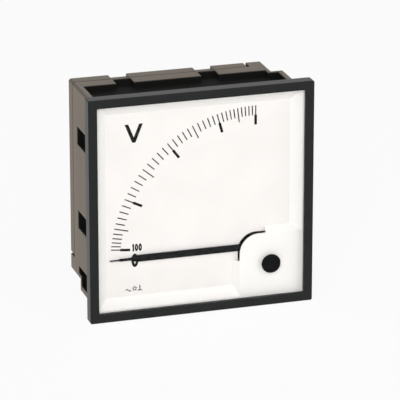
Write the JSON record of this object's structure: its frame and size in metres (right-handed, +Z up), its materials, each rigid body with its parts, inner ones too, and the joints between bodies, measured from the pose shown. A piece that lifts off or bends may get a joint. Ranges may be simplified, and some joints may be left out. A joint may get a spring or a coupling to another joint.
{
  "type": "panel voltmeter",
  "caption": "Square panel voltmeter with a black frame, a white quarter-circle scale and a black pointer pivoted low on the right",
  "frame": {"origin": "centre of the square frame's rear face, where the frame bears on the panel", "axes": "X to the right seen from the front, Y into the panel, Z up"},
  "size_m": [0.096, 0.066, 0.096],
  "materials": {
    "frame_plastic": "black moulded plastic with a fine satin surface",
    "case_plastic": "dark warm-grey moulded plastic, fine grain",
    "white_plastic": "smooth white moulded plastic",
    "dial_enamel": "matt white enamel with a printed black scale",
    "window": "clear polished glass",
    "pointer_black": "matt black paint on thin aluminium",
    "inner_plastic": "plain black moulded plastic",
    "bobbin_plastic": "natural cream moulded plastic",
    "brass": "bright turned brass",
    "zinc_steel": "bright zinc-plated steel",
    "aluminium": "thin plain aluminium",
    "soft_iron": "dull annealed sheet iron",
    "spring_bronze": "thin bright bronze strip",
    "enamelled_copper": "close turns of enamelled copper wire",
    "board": "brown resin-bonded paper board",
    "resistor_ceramic": "green-grey glaze",
    "lead_red": "red insulated wire",
    "lead_black": "black insulated wire"
  },
  "bodies": {
    "casing": {"bezel": "frame_plastic", "window_glass": "window", "dial_mask": "white_plastic", "dial_plate": "dial_enamel", "case": "case_plastic", "rear_cover": "case_plastic", "cover_screws": "zinc_steel", "front_bridge": "brass", "bridge_posts": "brass", "bridge_screws": "zinc_steel", "front_bearing": "brass", "rear_bearing": "brass", "damping_chamber": "inner_plastic", "chamber_cover": "inner_plastic", "fixed_iron": "soft_iron", "coil_bobbin": "bobbin_plastic", "coil_winding": "enamelled_copper", "movement_frame": "brass", "movement_screws": "zinc_steel", "resistor_board": "board", "series_resistors": "resistor_ceramic", "board_screws": "zinc_steel", "board_lead": "lead_red", "supply_lead": "lead_black", "coil_lead": "lead_red", "terminal_studs": "brass", "terminal_washers": "zinc_steel", "terminal_nuts": "brass"},
    "moving_system": {"pointer": "pointer_black", "pointer_hub": "aluminium", "balance_weights": "brass", "spindle": "zinc_steel", "moving_iron": "soft_iron", "damping_paddle": "aluminium"},
    "adjuster": {"zero_adjuster": "frame_plastic", "adjuster_clip": "zinc_steel"},
    "lever": {"zero_lever": "brass", "hairspring": "spring_bronze"}
  },
  "joints": [
    {"name": "pointer_swing", "type": "hinge", "parent": "casing", "child": "moving_system", "pos_m": [0.0231, 0.005, -0.0231], "axis": [0, 1, 0], "range_deg": [0, 90], "stiffness_Nm_per_rad": 0.00002, "deforming": ["hairspring"]},
    {"name": "zero_turn", "type": "hinge", "parent": "casing", "child": "adjuster", "pos_m": [0.0302, -0.003, -0.0302], "axis": [0, 1, 0], "range_deg": [-45, 45]},
    {"name": "lever_turn", "type": "hinge", "parent": "casing", "child": "lever", "pos_m": [0.0231, 0.0004, -0.0231], "axis": [0, 1, 0], "range_deg": [-5.4, 5.4]}
  ],
  "couplings": [
    {"joint": "lever_turn", "follows": "zero_turn", "ratio": 0.12}
  ]
}
